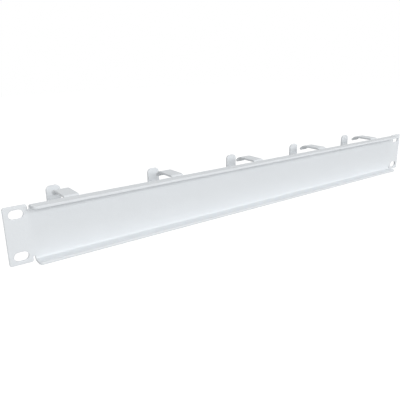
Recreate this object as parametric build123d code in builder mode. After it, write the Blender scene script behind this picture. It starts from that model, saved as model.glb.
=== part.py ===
from build123d import *
from math import cos, radians, sin, tan
import os

# Horizontal cable manager, one rack unit high, for a 19-inch rack.
# A sheet steel panel is folded into a shallow channel with a flat ear at each end,
# and open rings of bent steel strip are spot-welded in a row along its front.
# X runs along the panel and Z is up. Y points out of the rack, from the panel to the rings.
# The origin is in the middle of the panel, on the face that the rack rails touch.

os.makedirs("parts", exist_ok=True)

# Slots for the rack screws, at the places that the rack's rails give
slot_pitch_x = 465.1
slot_pitch_z = 31.75
slot_length = 10.3
slot_width = 6.8

# Panel
sheet = 2.0  # thickness of the panel's steel
end_margin = 8.75  # from the middle of a slot to the panel's end
edge_margin = 6.125  # from the middle of a slot to the ear's top or bottom edge
ear_width = 16.8
ear_corner = 1.5  # radius of the ears' corners
relief_width = 1.4  # slit between an ear and the end of a flange
flange_depth = 10.0  # from the rail face back to the flanges' free edges
flange_corner = 3.0  # radius of the flanges' free corners
panel_bend = 1.5  # inside radius of the panel's folds

# Rings
ring_count = 5
ring_margin = 32.5  # from a flange's end to the middle of the nearest ring
ring_width = 12.0  # width of the strip, along X
strip = 2.0  # thickness of the strip
ring_reach = 45.0  # from the panel to the outside of the post
ring_bend = 2.0  # inside radius of the folds at the base and under the post
post_drop = 2.0  # how far the post stops below the top of the tongue
post_corner = 4.0  # radius of the post's top corners
tongue_level = 20.7  # how far the tongue runs level from the panel
tongue_bend = 8.0  # inside radius of the tongue's downward curl
tongue_slope = 38.0  # slope of the tip below level, in degrees
tip_length = 4.4  # straight stretch past the curl
tip_corner = 2.5  # radius of the tip's corners

# Broken sheared edges, and the shallow marks of the spot welds
edge_break = 0.3
weld_radius = 2.5
weld_depth = 0.25
weld_pitch = 24.0  # between the two welds of a ring
weld_flare = 60.0  # slope of a mark's side, in degrees

# Worked out for the panel, with the folds along the middle of the sheet
panel_width = slot_pitch_x + 2 * end_margin
ear_height = slot_pitch_z + 2 * edge_margin
flange_length = panel_width - 2 * (ear_width + relief_width)
ear_place = (panel_width - ear_width) / 2
relief_place = (flange_length + relief_width) / 2
sheet_middle = sheet / 2
flange_middle = ear_height / 2 - sheet_middle
panel_fold = panel_bend + sheet_middle
fold_line = flange_middle - panel_fold

# Worked out for the rings, which are as high as the panel, along the middle of the strip
ring_pitch = (flange_length - 2 * ring_margin) / (ring_count - 1)
ring_back = sheet + strip / 2
ring_front = sheet + ring_reach - strip / 2
ring_top = (ear_height - strip) / 2
post_top = ear_height / 2 - post_drop
ring_fold = ring_bend + strip / 2
curl = tongue_bend + strip / 2
curl_run = curl * tan(radians(tongue_slope / 2))
curl_place = sheet + tongue_level + curl_run
tip_place = curl_place + (curl_run + tip_length) * cos(radians(tongue_slope))
tip_height = ring_top - (curl_run + tip_length) * sin(radians(tongue_slope))
tip_end = Axis((0, 0, 0), (0, sin(radians(tongue_slope)), cos(radians(tongue_slope))))


# Panel: the folded channel, then the flat sheet that reaches past it to the slotted ears
with BuildPart() as panel:
    with BuildSketch(Plane.YZ.offset(-flange_length / 2)) as channel_section:
        with BuildLine() as channel_line:
            FilletPolyline(
                (-flange_depth, flange_middle),
                (sheet_middle, flange_middle),
                (sheet_middle, -flange_middle),
                (-flange_depth, -flange_middle),
                radius=panel_fold,
            )
        trace(line_width=sheet)
    extrude(amount=flange_length)
    fillet(panel.edges().filter_by(Axis.Z).group_by(Axis.Y)[0], radius=flange_corner)

    with BuildSketch(Plane.XZ) as flat_sheet:
        Rectangle(2 * ear_place, 2 * fold_line)
        with GridLocations(2 * relief_place, 2 * fold_line, 2, 2):
            Circle(relief_width / 2, mode=Mode.SUBTRACT)
        with GridLocations(2 * ear_place, 0, 2, 1):
            RectangleRounded(ear_width, ear_height, ear_corner)
    extrude(amount=-sheet)

    # Each broken edge runs on from a flange, through the relief slits and round the ears
    chamfer(panel.edges().filter_by(Axis.X).group_by(Axis.Y)[0], length=edge_break)

    with BuildSketch(Plane.XZ) as screw_slots:
        with GridLocations(slot_pitch_x, slot_pitch_z, 2, 2):
            SlotOverall(slot_length, slot_width)
    extrude(amount=-sheet, mode=Mode.SUBTRACT)
    chamfer(panel.edges(Select.LAST).filter_by(Plane.XZ), length=edge_break)

panel.part.label = "panel"
export_step(panel.part, "parts/panel.step")


# Rings: each is one strip, bent from the top of its post round to the tip of its tongue
for number in range(ring_count):
    place = (number - (ring_count - 1) / 2) * ring_pitch
    with BuildPart() as ring:
        with BuildSketch(Plane.YZ.offset(place - ring_width / 2)) as strip_section:
            with BuildLine() as strip_line:
                FilletPolyline(
                    (ring_front, post_top),
                    (ring_front, -ring_top),
                    (ring_back, -ring_top),
                    (ring_back, ring_top),
                    (curl_place, ring_top),
                    (tip_place, tip_height),
                    radius=[ring_fold, ring_fold, ring_fold, curl],
                )
            trace(line_width=strip)
        extrude(amount=ring_width)
        fillet(ring.edges().filter_by(Axis.Y).group_by(Axis.Y)[-1], radius=post_corner)
        fillet(ring.edges().filter_by(tip_end), radius=tip_corner)
        post_edges = ring.edges().filter_by(Axis.Z).group_by(Axis.Y)
        chamfer(post_edges[-1] + post_edges[-2], length=edge_break)

        with BuildSketch(Plane.XZ.offset(-sheet - strip)) as weld_marks:
            with Locations((place, 0)):
                with GridLocations(0, weld_pitch, 1, 2):
                    Circle(weld_radius)
        extrude(amount=weld_depth, taper=weld_flare, mode=Mode.SUBTRACT)

    ring.part.label = f"ring_{number + 1}"
    export_step(ring.part, f"parts/{ring.part.label}.step")
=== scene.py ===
# Horizontal cable manager: a folded steel panel with open rings, in a light grey powder coat.
import math

import bpy
from mathutils import Matrix, Vector

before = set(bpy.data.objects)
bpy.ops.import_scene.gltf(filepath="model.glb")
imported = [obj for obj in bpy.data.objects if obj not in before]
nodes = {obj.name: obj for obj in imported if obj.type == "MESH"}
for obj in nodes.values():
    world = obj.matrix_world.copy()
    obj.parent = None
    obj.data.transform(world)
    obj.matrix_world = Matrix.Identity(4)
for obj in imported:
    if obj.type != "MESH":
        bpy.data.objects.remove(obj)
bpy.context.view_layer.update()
scene = bpy.context.scene
print("frame loaded,", len(nodes), "nodes")


# one socket of a material, so that shader maths reads as an expression
class Wire:
    def __init__(self, finish, socket):
        self.finish = finish
        self.socket = socket

    def maths(self, operation, first, second):
        return self.finish.node("Math", {"operation": operation}, {0: first, 1: second})

    def __add__(self, other):
        return self.maths("ADD", self, other)

    __radd__ = __add__

    def __sub__(self, other):
        return self.maths("SUBTRACT", self, other)

    def __rsub__(self, other):
        return self.maths("SUBTRACT", other, self)

    def __mul__(self, other):
        return self.maths("MULTIPLY", self, other)

    __rmul__ = __mul__


# the nodes of a material or world; a node's settings are set before its sockets
class Finish:
    def __init__(self, owner):
        owner.use_nodes = True
        self.tree = owner.node_tree
        self.tree.nodes.clear()

    def node(self, kind, settings=None, sockets=None, output=0):
        made = self.tree.nodes.new("ShaderNode" + kind)
        for setting, value in (settings or {}).items():
            setattr(made, setting, value)
        for socket, value in (sockets or {}).items():
            if isinstance(value, Wire):
                self.tree.links.new(value.socket, made.inputs[socket])
            else:
                made.inputs[socket].default_value = value
        if made.outputs:
            return Wire(self, made.outputs[output])


# sizes and heights in metres
powderCoat = {
    "colour": (0.735, 0.762, 0.785),
    "patchSize": 0.045,  # across a faint change of tone
    "patchDetail": 2,
    "patchDepth": 0.03,
    "waveSize": 0.0016,  # orange peel, left where the melted powder flowed
    "waveDetail": 1,
    "waveHeight": 0.00006,
    "grainSize": 0.00045,  # the finer tooth on top of it
    "grainDetail": 2,
    "grainHeight": 0.00003,
    "roughness": 0.6,
    "roughnessSpread": 0.08,
    "refraction": 1.5,
}
noiseMiddle = 0.5  # a noise texture runs from 0 to 1 about this value


def makePowderCoat():
    coat = powderCoat
    material = bpy.data.materials.new("powderCoat")
    finish = Finish(material)
    place = finish.node("TexCoord", output="Object")

    def noise(pattern):
        return finish.node("TexNoise", {"noise_dimensions": "3D"}, {
            "Vector": place,
            "Scale": 1 / coat[pattern + "Size"],
            "Detail": coat[pattern + "Detail"],
        })

    patches = noise("patch")
    waves = noise("wave")
    grain = noise("grain")
    tone = 1 + (patches - noiseMiddle) * coat["patchDepth"]
    shader = finish.node("BsdfPrincipled", sockets={
        "Base Color": finish.node("VectorMath", {"operation": "SCALE"},
                                  {0: coat["colour"], "Scale": tone}),
        "Roughness": coat["roughness"] + (waves - noiseMiddle) * coat["roughnessSpread"],
        "IOR": coat["refraction"],
        "Normal": finish.node("Bump", sockets={
            "Height": waves * coat["waveHeight"] + grain * coat["grainHeight"],
            "Strength": 1,
            "Distance": 1,
        }),
    })
    finish.node("OutputMaterial", sockets={"Surface": shader})
    return material


coatMaterial = makePowderCoat()
for node in nodes.values():
    node.data.materials.clear()
    node.data.materials.append(coatMaterial)
print("powder coat on", len(nodes), "nodes")


studio = {
    "floorDrop": 0.35,  # metres from the panel's middle down to the floor
    "floorSize": 12.0,
    "floorColour": (0.5, 0.5, 0.5, 1),
    "floorGlow": 0.7,  # for the eye alone, so that the floor looks white but lights little
    "white": (1, 1, 1, 1),
    "ambient": 0.43,  # what the white world gives the object, as a share of full level
    "lampDistance": 20.0,
    "lampSize": 6.0,
}

# each lamp is a soft square panel that faces the object; turn is from straight in front of
# the flanges towards +X, rise is above level, and light is the share of full level it gives
lamps = {
    "left": {"turn": -20.0, "rise": 20.0, "light": 0.356},
    "right": {"turn": 20.0, "rise": 20.0, "light": 0.252},
    "high": {"turn": 0.0, "rise": 72.0, "light": 0.159},
    "back": {"turn": 180.0, "rise": 10.0, "light": 0.2},
}


# 1 for the camera and for what it sees in gloss or through glass, 0 for light on the object
def seenByEye(finish):
    def ray(kind):
        return finish.node("LightPath", output="Is " + kind + " Ray")

    return ray("Camera") + ray("Glossy") + ray("Transmission")


def addFloor():
    bpy.ops.mesh.primitive_plane_add(size=studio["floorSize"],
                                     location=(0, 0, -studio["floorDrop"]))
    floor = bpy.context.object
    floor.name = "studioFloor"
    material = bpy.data.materials.new("studioFloor")
    finish = Finish(material)
    lit = finish.node("BsdfDiffuse", sockets={"Color": studio["floorColour"]})
    strength = seenByEye(finish) * studio["floorGlow"]
    glow = finish.node("Emission", sockets={"Color": studio["white"], "Strength": strength})
    both = finish.node("AddShader", sockets={0: lit, 1: glow})
    finish.node("OutputMaterial", sockets={"Surface": both})
    floor.data.materials.append(material)


def lightWorld():
    world = bpy.data.worlds.new("studioWorld")
    finish = Finish(world)
    strength = studio["ambient"] + seenByEye(finish) * (1 - studio["ambient"])
    sky = finish.node("Background", sockets={"Color": studio["white"], "Strength": strength})
    finish.node("OutputWorld", sockets={"Surface": sky})
    scene.world = world


def addLamp(name, settings):
    turn = math.radians(settings["turn"])
    rise = math.radians(settings["rise"])
    toLamp = Vector((math.sin(turn) * math.cos(rise),
                     -math.cos(turn) * math.cos(rise),
                     math.sin(rise)))
    data = bpy.data.lights.new(name, "AREA")
    data.size = studio["lampSize"]
    # with a light of 1, a white surface that faces the lamp would render white
    data.energy = settings["light"] * (math.pi * studio["lampDistance"]) ** 2
    lamp = bpy.data.objects.new(name, data)
    lamp.location = toLamp * studio["lampDistance"]
    lamp.rotation_euler = toLamp.to_track_quat("Z", "Y").to_euler()
    scene.collection.objects.link(lamp)


addFloor()
lightWorld()
for name, settings in lamps.items():
    addLamp(name, settings)
print("studio lit,", len(lamps), "lamps")


# the photograph's viewpoint, fitted to the panel's corners, slots and rings
viewpoint = {
    "place": (-0.3042, -0.3176, 0.1196),
    "turn": 35.89,  # degrees from +Y towards +X
    "fall": 17.54,  # degrees below level
    "roll": -0.74,
    "focalPixels": 455.4,
    "imagePixels": 400,
    "sensor": 36.0,
    "nearest": 0.01,
}


def addCamera():
    view = viewpoint
    data = bpy.data.cameras.new("camera")
    data.sensor_width = view["sensor"]
    data.lens = view["focalPixels"] / view["imagePixels"] * view["sensor"]
    data.clip_start = view["nearest"]

    def turned(degrees, axis):
        return Matrix.Rotation(math.radians(degrees), 4, axis)

    camera = bpy.data.objects.new("camera", data)
    camera.matrix_world = (Matrix.Translation(view["place"])
                           @ turned(-view["turn"], "Z")
                           @ turned(90 - view["fall"], "X")
                           @ turned(view["roll"], "Z"))
    scene.collection.objects.link(camera)
    scene.camera = camera


addCamera()
scene.view_settings.view_transform = "Standard"
print("camera placed")
